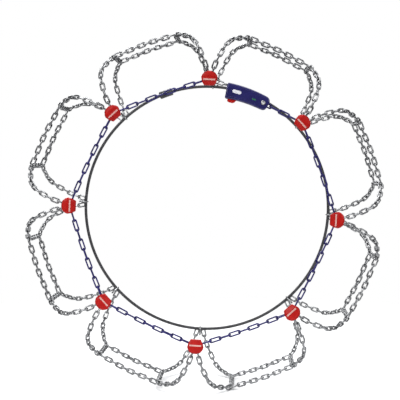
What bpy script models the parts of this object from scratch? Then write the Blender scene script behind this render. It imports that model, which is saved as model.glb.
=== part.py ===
"""Snow chain for one car tyre, in the shape it has when it is mounted on the wheel.

The origin is the wheel's centre and Y is the wheel's axis. The outside of the wheel, with the
coloured side chain, the caps and the tensioner, faces -Y, and +Z is up. Every run of chain is a
plain bar as wide as its links, laid on the surface of the tyre that it is made for.
"""

import math
from functools import lru_cache

import bmesh
import bpy
from mathutils import Matrix, Vector

MM = 0.001

# The tyre that the chain is made for, 225/45 R17. It shapes the chain, but it is not modelled.
TREAD_RADIUS = 317 * MM
WIDEST_RADIUS = 272 * MM
BEAD_RADIUS = 235.6 * MM
HALF_WIDTH = 112.5 * MM
SHOULDER_POWER = 3.2
SIDEWALL_CURVE = 6.4

# Tread chain: wire, links and the net that they form.
LINK_HALF_WIDTH = 4.7 * MM
CHAIN_HEIGHT = 4.9 * MM
CORNERS = 8
CORNER_STEP = 360 / CORNERS
FIRST_CORNER = -3.0
JUNCTION_ANGLE = 12.0
JUNCTION_S = 55 * MM
ARM_FOOT_ANGLE = 1.25
ARM_FOOT_RADIUS = 251.8 * MM
ARM_BEND = 1.4
REAR_FOOT_ANGLE = 1.7
REAR_FOOT_RADIUS = 245 * MM
ARM_STEPS = 8
CROSS_STEPS = 4
RUN_STEPS = 5
RUN_GAP = 5.9 * MM

# Connectors: a steel plate under a red cap, where the side chain and two arms meet.
CONNECTOR_RADIUS = 237 * MM
SIDE_CHAIN_X = -4 * MM
PLATE_HEIGHT = 4.7 * MM
PLATE_THICKNESS = 3 * MM
PLATE_SCALE = 0.86
CAP_BOTTOM = 1.8 * MM
CAP_RIM = 6.0 * MM
CAP_TOP = 10.8 * MM
CAP_POST_RADIUS = 2.2 * MM
CAP_HALF_OUTLINE = [(13.2, 5.0), (11.6, 9.4), (6.5, 13.2), (0.8, 14.8), (-6.2, 13.3), (-12.6, 10.6)]
CAP_CROWN = [(1.0, -0.3), (0.95, 0.35), (0.78, 0.8), (0.45, 1.0)]
CAP_FOOT_SCALE = 0.97
PLATE_HOLE_RADIUS = 1.9 * MM
ARM_HOLE = (6.8 * MM, 5.2 * MM)
SIDE_HOLE_Y = 8 * MM

# Side chain: welded long links between the connectors.
SIDE_LINK_RADIUS = 4.3 * MM
SIDE_END = 16.8 * MM

# Inner cable behind the wheel.
CABLE_RING_RADIUS = 236.4 * MM
CABLE_Y = 110.6 * MM
CABLE_RADIUS = 2.75 * MM
COUPLING_ANGLE = 109.5
COUPLING_LENGTH = 26 * MM
COUPLING_RADIUS = 7 * MM
COUPLING_BORE = 4.9 * MM
CABLE_GAP_ANGLE = 3.0
CABLE_SIDES = 6
CABLE_STEPS = 60
BALL_PROFILE = [(1.6, -1.0), (2.8, -0.8), (3.6, -0.4), (3.6, 0.1), (2.6, 0.5), (2.6, 1.0)]
COUPLING_CHAMFER = 1.2 * MM

# Tensioner: its own frame is at the drum, x away from the hub, y towards the top cap, z outwards.
DRUM_ANGLE = 74.5
DRUM_RING_RADIUS = 219 * MM
HOUSING_BACK_Y = -107.5 * MM
HOUSING_ANGLES = (58.6, 79.0)
HOUSING_OUTER = 233 * MM
HOUSING_INNER = (208.5 * MM, 205 * MM)
COVER_THICKNESS = 2 * MM
SHELL_BACK = 2.3 * MM
SHELL_FRONT = 16.5 * MM
SHELL_WALL = 2 * MM
SHELL_CHAMFER = 1.6 * MM
END_CORNERS = (9 * MM, 7 * MM)
LEFT_CORNER = 3 * MM
RIVET_ANGLE = 61.1
RIVET_RING_RADIUS = 220.3 * MM
RIVET_RADIUS = 2.3 * MM
RIVET_HEAD_RADIUS = 4.2 * MM
TEETH = 12
RATCHET_RADIUS = 8.5 * MM
RATCHET_DEPTH = 1.3 * MM
TOOTH_PHASE = 154.0
SPOOL_RADIUS = 5.8 * MM
AXLE_RADIUS = 2 * MM
LEVER_PIVOT = (-8.2 * MM, -9.5 * MM)
PAWL_PIVOT = (-6.5 * MM, -14.5 * MM)
STRAND_RADIUS = 2.2 * MM
STRAND_Y = (0.5 * MM, 31 * MM)
STRAND_X = 8.3 * MM
STRAND_LEAN = 2.1
STRAND_DROP = 1 * MM
GAP = 0.3 * MM

# Openings in the housing, from corner to corner in millimetres in the tensioner's frame.
STRAND_MOUTH = ((5.2, 10, 5), (11.8, 22, 11.8))
LEVER_MOUTH = ((-18, -6.8, 4.6), (-10, 12.6, 12.9))
CHAIN_MOUTH_X = (-10, 4)
CHAIN_MOUTH_Z = (4, 13)
CHAIN_MOUTH_REACH = 18

# What is inside the housing, in millimetres over the back of the cover.
SPOOL_LOW = 5.8
DISC_Z = (11, 14)
SPRING_Z = (2.8, 5.2)
SPRING_RADII = (2.9, 8)
SPRING_TURNS = 2.5
SPRING_STEPS = 14
SPRING_THICKNESS = 0.7
LEVER_Z = (5, 12.5)
PAWL_Z = (11.2, 13.8)
PIN_RADIUS = 1 * MM
PIVOT_BORE = 1.3 * MM
LEVER_OUTLINE = [(-10.4, -11.3), (-10.5, -6), (-13.2, -4.4), (-17, -2.5), (-19.3, 2), (-19.6, 8)]
LEVER_OUTLINE += [(-17.5, 10.8), (-11, 10.8), (-10.9, -3.6), (-6.2, -7.6), (-5.9, -11.3)]
PAWL_OUTLINE = [(-0.6, -8.95), (0.6, -10.2), (-4.2, -16.2), (-6.5, -16.7), (-8.5, -15.6)]
PAWL_OUTLINE += [(-8.5, -13.4), (-6.2, -12.3), (-3, -11.2)]
RIVET_HEAD = [(1.0, 0.0), (1.0, 0.5), (0.7, 1.2)]

GALVANISED = ("galvanised_chain", (0.62, 0.63, 0.65), 0.32, 1.0)
PLATE_STEEL = ("plated_steel", (0.55, 0.55, 0.56), 0.38, 1.0)
RED_PLASTIC = ("red_plastic", (0.62, 0.02, 0.02), 0.28, 0.0)
BLUE_PAINT = ("blue_chain_paint", (0.045, 0.04, 0.22), 0.36, 0.4)
BLUE_PLASTIC = ("blue_plastic", (0.035, 0.03, 0.24), 0.3, 0.0)
CABLE_JACKET = ("cable_jacket", (0.04, 0.04, 0.05), 0.5, 0.0)
SPRING_STEEL = ("spring_steel", (0.3, 0.3, 0.32), 0.3, 1.0)


def clear_scene():
    for thing in list(bpy.data.objects):
        bpy.data.objects.remove(thing, do_unlink=True)


def material(finish):
    name, colour, roughness, metallic = finish
    made = bpy.data.materials.get(name)
    if made is None:
        made = bpy.data.materials.new(name)
        made.use_nodes = True
        shader = made.node_tree.nodes["Principled BSDF"]
        shader.inputs["Base Color"].default_value = (*colour, 1)
        shader.inputs["Roughness"].default_value = roughness
        shader.inputs["Metallic"].default_value = metallic
    return made


def mesh_from(name, rings, ring_closed=False, finish=None):
    """A closed skin over rings of points. The end rings are filled, or joined to each other."""
    shape = bmesh.new()
    loops = [[shape.verts.new(point) for point in ring] for ring in rings]
    pairs = list(zip(loops, loops[1:]))
    if ring_closed:
        pairs.append((loops[-1], loops[0]))
    else:
        shape.faces.new(loops[0])
        shape.faces.new(loops[-1])
    for lower, upper in pairs:
        for i, corner in enumerate(lower):
            j = (i + 1) % len(lower)
            shape.faces.new((corner, lower[j], upper[j], upper[i]))
    bmesh.ops.recalc_face_normals(shape, faces=shape.faces)
    mesh = bpy.data.meshes.new(name)
    shape.to_mesh(mesh)
    shape.free()
    if finish:
        mesh.materials.append(material(finish))
    return mesh


def place(name, mesh, matrix=None, smooth_angle=None):
    made = bpy.data.objects.new(name, mesh)
    bpy.context.scene.collection.objects.link(made)
    if matrix is not None:
        made.matrix_basis = matrix
    if smooth_angle:
        mesh.shade_smooth()
        mesh.set_sharp_from_angle(angle=math.radians(smooth_angle))
    return made


def boolean(target, tool, operation="DIFFERENCE"):
    tool.hide_render = True
    tool.display_type = "WIRE"
    step = target.modifiers.new(operation.title(), "BOOLEAN")
    step.operation = operation
    step.solver = "EXACT"
    step.object = tool


def circle(radius, count, z, centre=(0, 0)):
    turn = [2 * math.pi * i / count for i in range(count)]
    return [Vector((centre[0] + radius * math.cos(a), centre[1] + radius * math.sin(a), z)) for a in turn]


def flat(outline, z):
    return [Vector((x, y, z)) for x, y in outline]


def cylinder(name, radius, low, high, centre=(0, 0), count=12):
    return mesh_from(name, [circle(radius, count, z, centre) for z in (low, high)])


def box(name, low, high):
    """A box between two corners that are given in millimetres."""
    low, high = Vector(low) * MM, Vector(high) * MM
    corners = [(low.x, low.y), (high.x, low.y), (high.x, high.y), (low.x, high.y)]
    return mesh_from(name, [flat(corners, z) for z in (low.z, high.z)])


def station(angle, radius, y):
    """A frame on the wheel: x away from the hub, y anticlockwise seen from outside, z outwards."""
    turn = math.radians(angle)
    away = Vector((math.cos(turn), 0, math.sin(turn)))
    along = Vector((-math.sin(turn), 0, math.cos(turn)))
    frame = Matrix.Identity(4)
    frame.col[0].xyz = away
    frame.col[1].xyz = along
    frame.col[2].xyz = Vector((0, -1, 0))
    frame.translation = away * radius + Vector((0, y, 0))
    return frame


def turned(angle):
    """Turns a piece that was made at angle 0 to its place round the wheel."""
    return Matrix.Rotation(-math.radians(angle), 4, "Y")


# The tyre's surface


@lru_cache
def tyre_table():
    """Half of the tyre's outline as (s, y, r), with s the distance from the tread's middle."""
    steps = 160
    rim = TREAD_RADIUS - WIDEST_RADIUS
    power = 2 / SHOULDER_POWER
    outline = []
    for i in range(steps + 1):
        turn = math.pi / 2 * (i / steps) ** 1.6
        y = HALF_WIDTH * math.sin(turn) ** power
        outline.append((y, WIDEST_RADIUS + rim * max(math.cos(turn), 0) ** power))
    for i in range(1, 41):
        drop = (WIDEST_RADIUS - BEAD_RADIUS) * 1.1 * i / 40
        outline.append((HALF_WIDTH - SIDEWALL_CURVE * drop**2, WIDEST_RADIUS - drop))
    table = [(0.0, *outline[0])]
    for before, after in zip(outline, outline[1:]):
        table.append((table[-1][0] + math.dist(before, after), *after))
    return table


def tyre_outline(s):
    """The outline's point at distance s, with the direction that points out of the tyre."""
    side = -1 if s < 0 else 1
    table = tyre_table()
    for before, after in zip(table, table[1:]):
        if after[0] >= abs(s):
            break
    part = (abs(s) - before[0]) / (after[0] - before[0])
    y, r = (before[k] + part * (after[k] - before[k]) for k in (1, 2))
    normal = Vector((before[2] - after[2], after[1] - before[1])).normalized()
    return side * y, r, side * normal.x, normal.y


def distance_at_radius(radius):
    """How far round the outline the sidewall reaches this radius."""
    table = [row for row in tyre_table() if row[2] < TREAD_RADIUS - 10 * MM]
    return min(table, key=lambda row: abs(row[2] - radius))[0]


def on_tyre(angle, s, height=CHAIN_HEIGHT):
    """A point that lies at this height over the tyre, and the direction away from the tyre."""
    y, r, normal_y, normal_r = tyre_outline(s)
    turn = math.radians(angle)
    up = Vector((normal_r * math.cos(turn), normal_y, normal_r * math.sin(turn)))
    return Vector((r * math.cos(turn), y, r * math.sin(turn))) + up * height, up


def bar(name, path, half_width, sides, finish):
    """A bar with its corners up, down and to the sides, swept along (point, up) pairs."""
    rings = []
    for i, (point, up) in enumerate(path):
        before = path[max(i - 1, 0)][0]
        after = path[min(i + 1, len(path) - 1)][0]
        ahead = (after - before).normalized()
        across = ahead.cross(up).normalized()
        lift = across.cross(ahead)
        turn = [2 * math.pi * k / sides for k in range(sides)]
        rings.append([point + half_width * (math.cos(a) * across + math.sin(a) * lift) for a in turn])
    return mesh_from(name, rings, finish=finish)


# The tread net


def arm(foot_angle, foot_radius, side):
    """The (angle, s) pairs from a foot near the rim up to the junction on the tread."""
    foot = distance_at_radius(foot_radius)
    stations = []
    for i in range(ARM_STEPS + 1):
        part = i / ARM_STEPS
        angle = foot_angle + (JUNCTION_ANGLE - foot_angle) * part**ARM_BEND
        stations.append((angle, side * (foot + (JUNCTION_S - foot) * part)))
    return stations


def tread_loop_path():
    """From the connector up over the tread, down behind the tyre, round the cable and back."""
    front = arm(ARM_FOOT_ANGLE, ARM_FOOT_RADIUS, -1)
    rear = arm(REAR_FOOT_ANGLE, REAR_FOOT_RADIUS, 1)
    cross = [(JUNCTION_ANGLE, JUNCTION_S * (2 * i / CROSS_STEPS - 1)) for i in range(1, CROSS_STEPS)]
    half = front + cross + rear[::-1]
    whole = half + [(-angle, s) for angle, s in half[::-1]]
    return [on_tyre(angle, s) for angle, s in whole]


def run_path(side):
    """Round the tyre from one junction to the next, made at angle 0 of the first corner."""
    radius = on_tyre(0, side * JUNCTION_S)[0].xz.length
    start = JUNCTION_ANGLE + math.degrees(RUN_GAP / radius)
    stop = CORNER_STEP - start
    angles = [start + (stop - start) * i / RUN_STEPS for i in range(RUN_STEPS + 1)]
    return [on_tyre(angle, side * JUNCTION_S) for angle in angles]


def tread_net():
    loop = bar("tread_loop", tread_loop_path(), LINK_HALF_WIDTH, 4, GALVANISED)
    front = bar("front_run", run_path(-1), LINK_HALF_WIDTH, 4, GALVANISED)
    rear = bar("rear_run", run_path(1), LINK_HALF_WIDTH, 4, GALVANISED)
    for k in range(CORNERS):
        angle = FIRST_CORNER + CORNER_STEP * k
        place(f"tread_loop_{k + 1}", loop, turned(angle))
        place(f"front_run_{k + 1}", front, turned(angle))
        place(f"rear_run_{k + 1}", rear, turned(angle))


# Connectors


def cap_outline(scale=1.0):
    """Straight towards the hub, bulging at the sides and narrower towards the tread."""
    whole = CAP_HALF_OUTLINE + [(x, -y) for x, y in CAP_HALF_OUTLINE[::-1]]
    return [(x * MM * scale - SIDE_CHAIN_X, y * MM * scale) for x, y in whole]


def cap_mesh():
    """A domed cap on a round post. Its origin is on the line of the side chain."""
    count = len(cap_outline())
    centre = -SIDE_CHAIN_X
    turn = [math.pi * (2 * i + 1) / count for i in range(count)]
    post = [(centre + CAP_POST_RADIUS * math.cos(a), CAP_POST_RADIUS * math.sin(a)) for a in turn]
    rise = CAP_TOP - CAP_RIM
    rings = [
        flat(post, -PLATE_HEIGHT + CAP_BOTTOM),
        flat(post, PLATE_THICKNESS / 2 + GAP),
        flat(cap_outline(CAP_FOOT_SCALE), PLATE_THICKNESS / 2 + GAP),
    ]
    rings += [flat(cap_outline(scale), CAP_RIM + rise * part) for scale, part in CAP_CROWN]
    return mesh_from("connector_cap", rings, finish=RED_PLASTIC)


def plate_mesh():
    half = PLATE_THICKNESS / 2
    outline = cap_outline(PLATE_SCALE)
    return mesh_from("connector_plate", [flat(outline, z) for z in (-half, half)], finish=PLATE_STEEL)


def plate_holes():
    """One tool for all the holes: the cap's post, two arms and the side chain on both sides."""
    reach = PLATE_THICKNESS
    centre = -SIDE_CHAIN_X
    spots = [(CAP_POST_RADIUS + GAP, (centre, 0))]
    for side in (1, -1):
        spots.append((PLATE_HOLE_RADIUS, (centre + ARM_HOLE[0], side * ARM_HOLE[1])))
        spots.append((PLATE_HOLE_RADIUS, (0, side * SIDE_HOLE_Y)))
    shape = bmesh.new()
    for i, (radius, spot) in enumerate(spots):
        shape.from_mesh(cylinder(f"plate_hole_{i}", radius, -reach, reach, spot, 10))
    mesh = bpy.data.meshes.new("plate_holes")
    shape.to_mesh(mesh)
    shape.free()
    return mesh


def connector_frame(angle):
    """The frame of a connector, with its origin on the side chain's line."""
    y = -tyre_outline(distance_at_radius(CONNECTOR_RADIUS))[0] - PLATE_HEIGHT
    return station(angle, CONNECTOR_RADIUS + SIDE_CHAIN_X, y)


def connectors():
    cap = cap_mesh()
    plate = plate_mesh()
    holes = plate_holes()
    for k in range(CORNERS):
        frame = connector_frame(FIRST_CORNER + CORNER_STEP * k)
        place(f"connector_cap_{k + 1}", cap, frame, 40)
        cutter = place(f"plate_holes_{k + 1}", holes, frame)
        boolean(place(f"connector_plate_{k + 1}", plate, frame), cutter)


# Side chain


def side_chain_ends(k):
    """Where the side chain leaves connector k, and where it reaches the next piece."""
    start = connector_frame(FIRST_CORNER + CORNER_STEP * k) @ Vector((0, SIDE_END, 0))
    if k == 1:
        rivet = station(RIVET_ANGLE, RIVET_RING_RADIUS, start.y).translation
        return start, rivet + (start - rivet).normalized() * SIDE_END
    stop = connector_frame(FIRST_CORNER + CORNER_STEP * (k + 1)) @ Vector((0, -SIDE_END, 0))
    return start, stop


def side_chain():
    for k in range(CORNERS):
        start, stop = side_chain_ends(k)
        ahead = (stop - start).normalized()
        out = Vector((0, -1, 0))
        frame = Matrix.Identity(4)
        frame.col[0].xyz = out.cross(ahead)
        frame.col[1].xyz = out
        frame.col[2].xyz = ahead
        frame.translation = (start + stop) / 2
        half = (stop - start).length / 2
        mesh = cylinder(f"side_chain_{k + 1}", SIDE_LINK_RADIUS, -half, half, count=8)
        mesh.materials.append(material(BLUE_PAINT))
        place(f"side_chain_{k + 1}", mesh, frame)


# Inner cable


def inner_cable():
    """The cable is open at the coupling, where its ball end sits between its two ends."""
    start = COUPLING_ANGLE + CABLE_GAP_ANGLE / 2
    sweep = 360 - CABLE_GAP_ANGLE
    turn = [2 * math.pi * (k + 0.5) / CABLE_SIDES for k in range(CABLE_SIDES)]
    section = [Vector((CABLE_RADIUS * math.cos(a), 0, CABLE_RADIUS * math.sin(a))) for a in turn]
    rings = []
    for i in range(CABLE_STEPS + 1):
        frame = station(start + sweep * i / CABLE_STEPS, CABLE_RING_RADIUS, CABLE_Y)
        rings.append([frame @ point for point in section])
    place("inner_cable", mesh_from("inner_cable", rings, finish=CABLE_JACKET))

    along_cable = Matrix.Rotation(-math.pi / 2, 4, "X")
    coupling_frame = station(COUPLING_ANGLE, CABLE_RING_RADIUS, CABLE_Y) @ along_cable
    half_gap = math.radians(CABLE_GAP_ANGLE / 2) * CABLE_RING_RADIUS - GAP
    ball = [circle(radius * MM, 10, half_gap * part) for radius, part in BALL_PROFILE]
    place("cable_ball_end", mesh_from("cable_ball_end", ball, finish=PLATE_STEEL), coupling_frame, 40)

    half = COUPLING_LENGTH / 2
    sleeve = [
        circle(COUPLING_BORE, 12, -half),
        circle(COUPLING_RADIUS - COUPLING_CHAMFER, 12, -half),
        circle(COUPLING_RADIUS, 12, -half + COUPLING_CHAMFER),
        circle(COUPLING_RADIUS, 12, half - COUPLING_CHAMFER),
        circle(COUPLING_RADIUS - COUPLING_CHAMFER, 12, half),
        circle(COUPLING_BORE, 12, half),
    ]
    mesh = mesh_from("cable_coupling", sleeve, ring_closed=True, finish=CABLE_JACKET)
    place("cable_coupling", mesh, coupling_frame, 40)


# Tensioner


def tensioner_frame():
    return station(DRUM_ANGLE, DRUM_RING_RADIUS, HOUSING_BACK_Y)


def from_polar(radius, angle):
    """Wheel radius and angle to the tensioner's own x and y."""
    turn = math.radians(angle - DRUM_ANGLE)
    return radius * math.cos(turn) - DRUM_RING_RADIUS, radius * math.sin(turn)


def inner_edge(angle):
    right, left = HOUSING_ANGLES
    part = (angle - right) / (left - right)
    return HOUSING_INNER[0] + (HOUSING_INNER[1] - HOUSING_INNER[0]) * part


def housing_corner(radius, angle, size, inward, forward):
    """Four points round a corner; inward and forward say where its centre lies."""
    centre_radius = radius + inward * size
    centre_angle = angle + forward * math.degrees(size / centre_radius)
    points = []
    for i in range(4):
        turn = math.radians(30 * i)
        away = centre_radius - inward * size * math.cos(turn)
        along = centre_angle - forward * math.degrees(size * math.sin(turn) / centre_radius)
        points.append(from_polar(away, along))
    return points


def housing_outline(inset=0.0):
    """A band that follows the rim, round at the rivet's end, in order round its edge."""
    right, left = HOUSING_ANGLES
    outer = HOUSING_OUTER - inset
    trim = math.degrees(inset / DRUM_RING_RADIUS)
    right, left = right + trim, left - trim
    big, small, sharp = (max(size - inset, 0.8 * MM) for size in (*END_CORNERS, LEFT_CORNER))
    inner_right, inner_left = inner_edge(right) + inset, inner_edge(left) + inset
    steps = 6
    outline = housing_corner(outer, right, big, -1, 1)[::-1]
    start, stop = right + math.degrees(big / outer), left - math.degrees(sharp / outer)
    outline += [from_polar(outer, start + (stop - start) * i / steps) for i in range(1, steps)]
    outline += housing_corner(outer, left, sharp, -1, -1)
    outline += housing_corner(inner_left, left, sharp, 1, -1)[::-1]
    start, stop = left - math.degrees(sharp / outer), right + math.degrees(small / outer)
    for i in range(1, steps):
        angle = start + (stop - start) * i / steps
        outline.append(from_polar(inner_edge(angle) + inset, angle))
    return outline + housing_corner(inner_right, right, small, 1, 1)


def rivet_spot():
    return from_polar(RIVET_RING_RADIUS, RIVET_ANGLE)


def strand_frame():
    """The strand's frame: its z runs from the drum to the top connector."""
    lean = Matrix.Rotation(math.radians(STRAND_LEAN), 4, "Z").inverted()
    middle = Matrix.Translation((STRAND_X, 0, (SHELL_BACK + SHELL_FRONT) / 2 - STRAND_DROP))
    return tensioner_frame() @ middle @ lean @ Matrix.Rotation(-math.pi / 2, 4, "X")


def tensioner_housing():
    frame = tensioner_frame()
    rings = [
        flat(housing_outline(), SHELL_BACK),
        flat(housing_outline(), SHELL_FRONT - SHELL_CHAMFER),
        flat(housing_outline(SHELL_CHAMFER), SHELL_FRONT),
    ]
    shell = place("tensioner_housing", mesh_from("tensioner_housing", rings, finish=BLUE_PLASTIC), frame)
    inside = [flat(housing_outline(SHELL_WALL), z) for z in (SHELL_BACK - MM, SHELL_FRONT - SHELL_WALL)]
    rivet_y = rivet_spot()[1] / MM
    (near_x, far_x), (low_z, high_z) = CHAIN_MOUTH_X, CHAIN_MOUTH_Z
    chain_mouth = ((near_x, rivet_y - CHAIN_MOUTH_REACH, low_z), (far_x, rivet_y, high_z))
    tools = [
        mesh_from("housing_inside", inside),
        box("strand_mouth", *STRAND_MOUTH),
        box("lever_mouth", *LEVER_MOUTH),
        box("chain_mouth", *chain_mouth),
        cylinder("rivet_hole", RIVET_RADIUS + GAP, SHELL_FRONT / 2, SHELL_FRONT + MM, rivet_spot()),
    ]
    for tool in tools:
        boolean(shell, place(tool.name, tool, frame))


def tensioner_back_cover():
    """A flat back with the two moulded pins that the lever and the pawl turn on."""
    frame = tensioner_frame()
    plate = [flat(housing_outline(), z) for z in (0, COVER_THICKNESS)]
    mesh = mesh_from("tensioner_back_cover", plate, finish=BLUE_PLASTIC)
    cover = place("tensioner_back_cover", mesh, frame)
    for name, pivot in (("lever_pin", LEVER_PIVOT), ("pawl_pin", PAWL_PIVOT)):
        pin = cylinder(name, PIN_RADIUS, COVER_THICKNESS / 2, SHELL_FRONT - SHELL_WALL - GAP, pivot, 8)
        boolean(cover, place(name, pin, frame), "UNION")
    hole = cylinder("cover_rivet_hole", RIVET_RADIUS + GAP, -MM, 2 * COVER_THICKNESS, rivet_spot())
    boolean(cover, place("cover_rivet_hole", hole, frame))


def ratchet_outline():
    outline = []
    for i in range(TEETH):
        for part, radius in ((0, RATCHET_RADIUS), (0.92, RATCHET_RADIUS - RATCHET_DEPTH)):
            turn = math.radians(TOOTH_PHASE) - 2 * math.pi * (i + part) / TEETH
            outline.append((radius * math.cos(turn), radius * math.sin(turn)))
    return outline[::-1]


def drum():
    """The spool with its ratchet wheel, on a fixed axle, over a flat spiral spring."""
    frame = tensioner_frame()
    disc = [z * MM for z in DISC_Z]
    spool_low = SPOOL_LOW * MM
    bore = AXLE_RADIUS + GAP
    turn = [math.atan2(y, x) for x, y in ratchet_outline()]

    def ring(radius, z):
        return [Vector((radius * math.cos(a), radius * math.sin(a), z)) for a in turn]

    rings = [
        ring(bore, spool_low),
        ring(SPOOL_RADIUS, spool_low),
        ring(SPOOL_RADIUS, disc[0]),
        flat(ratchet_outline(), disc[0]),
        flat(ratchet_outline(), disc[1]),
        ring(bore, disc[1]),
    ]
    place("tension_drum", mesh_from("tension_drum", rings, True, PLATE_STEEL), frame)
    axle = cylinder("drum_axle", AXLE_RADIUS, COVER_THICKNESS + GAP, SHELL_FRONT - SHELL_WALL - GAP)
    axle.materials.append(material(PLATE_STEEL))
    place("drum_axle", axle, frame, 40)
    place("drum_spring", spring_mesh(), frame)


def spring_mesh():
    """A flat spiral strip."""
    (low, high), (inner, outer) = SPRING_Z, SPRING_RADII
    steps = int(SPRING_TURNS * SPRING_STEPS)
    strip = []
    for i in range(steps + 1):
        angle = 2 * math.pi * i / SPRING_STEPS
        near = inner + (outer - inner - SPRING_THICKNESS) * i / steps
        far = near + SPRING_THICKNESS
        corners = ((near, low), (far, low), (far, high), (near, high))
        strip.append([Vector((r * math.cos(angle), r * math.sin(angle), z)) * MM for r, z in corners])
    return mesh_from("drum_spring", strip, finish=SPRING_STEEL)


def swinging_piece(name, outline, pivot, depths, finish):
    """A flat lever with its origin on its pin."""
    frame = tensioner_frame() @ Matrix.Translation((*pivot, 0))
    about_pin = [(x * MM - pivot[0], y * MM - pivot[1]) for x, y in outline]
    mesh = mesh_from(name, [flat(about_pin, z * MM) for z in depths], finish=finish)
    hole = cylinder(f"{name}_hole", PIVOT_BORE, 0, SHELL_FRONT, count=10)
    boolean(place(name, mesh, frame), place(f"{name}_hole", hole, frame))


def strand_and_rivet():
    """The steel strand that hooks into the top connector, and the rivet of the other end."""
    strand = cylinder("tension_strand", STRAND_RADIUS, *STRAND_Y, count=8)
    strand.materials.append(material(GALVANISED))
    place("tension_strand", strand, strand_frame())
    head = SHELL_FRONT + GAP
    profile = [(RIVET_RADIUS, GAP), (RIVET_RADIUS, head)]
    profile += [(RIVET_HEAD_RADIUS * scale, head + rise * MM) for scale, rise in RIVET_HEAD]
    rings = [circle(radius, 12, z) for radius, z in profile]
    frame = tensioner_frame() @ Matrix.Translation((*rivet_spot(), 0))
    place("tensioner_rivet", mesh_from("tensioner_rivet", rings, finish=PLATE_STEEL), frame, 40)


def main():
    clear_scene()
    tread_net()
    connectors()
    side_chain()
    inner_cable()
    tensioner_housing()
    tensioner_back_cover()
    drum()
    swinging_piece("release_lever", LEVER_OUTLINE, LEVER_PIVOT, LEVER_Z, RED_PLASTIC)
    swinging_piece("ratchet_pawl", PAWL_OUTLINE, PAWL_PIVOT, PAWL_Z, PLATE_STEEL)
    strand_and_rivet()


main()
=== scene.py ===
# %% [markdown]
# # A snow chain for one car tyre
# This lesson gives a finished look to a snow chain as it sits on a wheel: the galvanised net on
# the tread, the blue side chain with its eight red connectors, the tensioner and the inner cable.
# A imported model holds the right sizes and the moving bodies. It is loaded first, and every piece
# made here rides on one of its bodies.

import math
from functools import lru_cache

import bmesh
import bpy
from mathutils import Matrix, Vector


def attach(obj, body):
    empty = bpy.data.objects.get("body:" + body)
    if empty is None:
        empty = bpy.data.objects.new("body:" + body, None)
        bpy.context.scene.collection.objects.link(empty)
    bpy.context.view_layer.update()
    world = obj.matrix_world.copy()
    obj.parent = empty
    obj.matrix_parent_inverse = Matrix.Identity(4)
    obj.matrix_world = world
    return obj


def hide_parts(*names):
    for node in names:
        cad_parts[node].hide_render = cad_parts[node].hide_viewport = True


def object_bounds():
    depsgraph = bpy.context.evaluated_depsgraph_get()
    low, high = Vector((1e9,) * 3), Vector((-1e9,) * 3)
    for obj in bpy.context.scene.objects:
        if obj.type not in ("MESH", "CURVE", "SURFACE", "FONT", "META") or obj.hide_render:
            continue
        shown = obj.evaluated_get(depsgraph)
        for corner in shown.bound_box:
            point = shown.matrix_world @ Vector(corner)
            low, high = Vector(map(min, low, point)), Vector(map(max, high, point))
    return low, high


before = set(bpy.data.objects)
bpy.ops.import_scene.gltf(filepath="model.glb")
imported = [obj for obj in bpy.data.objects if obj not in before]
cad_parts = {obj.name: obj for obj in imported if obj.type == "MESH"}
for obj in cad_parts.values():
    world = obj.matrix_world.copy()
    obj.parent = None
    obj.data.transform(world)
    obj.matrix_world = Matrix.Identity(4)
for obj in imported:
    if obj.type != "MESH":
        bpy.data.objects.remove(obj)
cad_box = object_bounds()
MM = 0.001

# %% [markdown]
# ## Camera
# The chain is seen square from the outside of the wheel. A long lens from far away keeps the
# circle round, and the camera stands a little to the right of the axle and a little above it.

# %% Camera
CAMERA_DISTANCE = 2.2
CAMERA_AZIMUTH = math.radians(2.2)
CAMERA_ELEVATION = math.radians(1.8)
LENS = 106.6
AIM = Vector((-0.0085, 0, 0.0191))

camera = bpy.data.objects.new("camera", bpy.data.cameras.new("camera"))
bpy.context.scene.collection.objects.link(camera)
camera.data.lens = LENS
camera.data.sensor_width = 36
back = Vector(
    (
        math.sin(CAMERA_AZIMUTH) * math.cos(CAMERA_ELEVATION),
        -math.cos(CAMERA_AZIMUTH) * math.cos(CAMERA_ELEVATION),
        math.sin(CAMERA_ELEVATION),
    )
)
camera.location = AIM + back * CAMERA_DISTANCE
camera.rotation_euler = (-back).to_track_quat("-Z", "Y").to_euler()
bpy.context.scene.camera = camera
bpy.context.scene.view_settings.view_transform = "Standard"
print("camera at", tuple(round(x, 3) for x in camera.location))

# %% [markdown]
# ## Floor and light
# A studio shot of bright steel needs both white and dark things around it, or the steel turns
# flat. The floor and the surroundings are pale, two large soft lamps give the highlights, and
# the lower sides of the world are dimmer for everything that the camera sees only in reflection.
# The floor is a disc of paper that fades out, so no horizon runs behind the chain.

# %% Floor
FLOOR_DROP = 1.5 * MM
FLOOR_SOLID = 0.45
FLOOR_REACH = 1.5
floor_mesh = bpy.data.meshes.new("floor")
floor_shape = bmesh.new()
bmesh.ops.create_circle(floor_shape, cap_ends=True, segments=64, radius=FLOOR_REACH)
bmesh.ops.translate(floor_shape, verts=floor_shape.verts, vec=(0, 0, cad_box[0].z - FLOOR_DROP))
floor_shape.to_mesh(floor_mesh)
floor_shape.free()
floor = bpy.data.objects.new("floor", floor_mesh)
bpy.context.scene.collection.objects.link(floor)
floor_finish = bpy.data.materials.new("floor_paper")
floor_finish.use_nodes = True
floor_shader = floor_finish.node_tree.nodes["Principled BSDF"]
floor_shader.inputs["Base Color"].default_value = (0.9, 0.9, 0.9, 1)
floor_shader.inputs["Roughness"].default_value = 0.9
floor_shader.inputs["Specular IOR Level"].default_value = 0.1
floor_nodes, floor_links = floor_finish.node_tree.nodes, floor_finish.node_tree.links
floor_place = floor_nodes.new("ShaderNodeTexCoord")
floor_reach = floor_nodes.new("ShaderNodeVectorMath")
floor_reach.operation = "LENGTH"
floor_fade = floor_nodes.new("ShaderNodeMapRange")
floor_fade.interpolation_type = "SMOOTHSTEP"
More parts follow.
